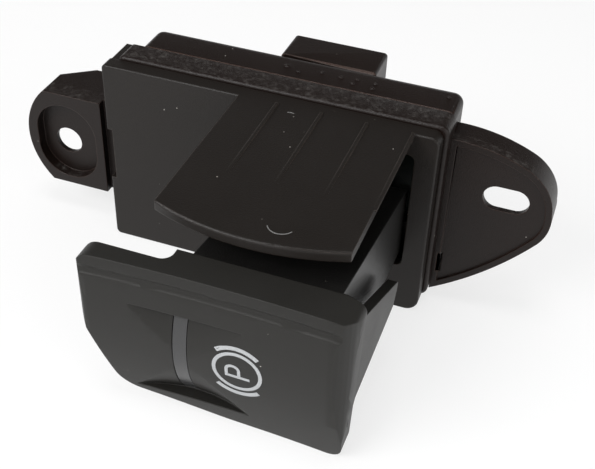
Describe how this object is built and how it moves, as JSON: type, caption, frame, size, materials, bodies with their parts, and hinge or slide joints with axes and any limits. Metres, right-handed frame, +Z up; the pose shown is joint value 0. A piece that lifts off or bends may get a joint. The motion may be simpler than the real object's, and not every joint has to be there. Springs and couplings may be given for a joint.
{
  "type": "electric parking brake switch",
  "caption": "Pull switch for an electric parking brake: a wide saddle-shaped handle on a short hinged arm, in a flat housing with two ears and a rear socket.",
  "frame": {"origin": "centre of the left ear's screw hole, where the screw's head seats in its pocket", "axes": "+X along the front plate from the screw ear to the slotted ear, +Y back from the handle to the socket, +Z up along the lever's hinge"},
  "size_m": [0.1218, 0.0781, 0.0458],
  "materials": {
    "cover_plastic": "satin moulded black plastic, glossier on the shelf",
    "housing_plastic": "fine grained black plastic, a little dusty",
    "lever_plastic": "moulded black plastic",
    "knob_plastic": "soft satin black paint on plastic",
    "lens_plastic": "smoked strip, unlit",
    "diffuser_plastic": "milky white",
    "guide_plastic": "clear",
    "pin_steel": "ground",
    "clip_steel": "dark spring steel",
    "bush_plastic": "natural acetal",
    "slider_plastic": "natural acetal",
    "spring_steel": "drawn wire",
    "stop_rubber": "soft",
    "contact_brass": "stamped",
    "board_laminate": "green mask",
    "screw_steel": "plated",
    "lamp_plastic": "cast resin",
    "resistor_ceramic": "glazed",
    "capacitor_ceramic": "fired",
    "header_plastic": "moulded",
    "pin_brass": "tinned"
  },
  "bodies": {
    "housing": {"front_cover": "cover_plastic", "rear_housing": "housing_plastic", "pivot_pin": "pin_steel", "pin_retainer": "clip_steel", "slider_stops": "stop_rubber", "circuit_board": "board_laminate", "board_screws": "screw_steel", "board_leds": "lamp_plastic", "board_resistors": "resistor_ceramic", "board_capacitors": "capacitor_ceramic", "connector_header": "header_plastic", "connector_pins": "pin_brass", "slider_spring_left": "spring_steel", "slider_spring_right": "spring_steel"},
    "lever": {"lever_arm": "lever_plastic", "knob_cap": "knob_plastic", "indicator_lens": "lens_plastic", "symbol_diffuser": "diffuser_plastic", "strip_light_guide": "guide_plastic", "symbol_light_guide": "guide_plastic", "pivot_bush_upper": "bush_plastic", "pivot_bush_lower": "bush_plastic"},
    "slider": {"actuator_slider": "slider_plastic", "wiper_contacts": "contact_brass"}
  },
  "joints": [
    {"name": "lever_hinge", "type": "hinge", "parent": "housing", "child": "lever", "pos_m": [0.065, -0.0039, 0.0085], "axis": [0, 0, 1], "range_deg": [-6, 6], "stiffness_Nm_per_rad": 1.2},
    {"name": "slider_travel", "type": "slide", "parent": "housing", "child": "slider", "axis": [1, 0, 0], "range_m": [-0.00065, 0.00065], "deforming": ["slider_spring_left", "slider_spring_right"]}
  ],
  "couplings": [
    {"joint": "slider_travel", "follows": "lever_hinge", "m_per_rad": -0.006}
  ]
}
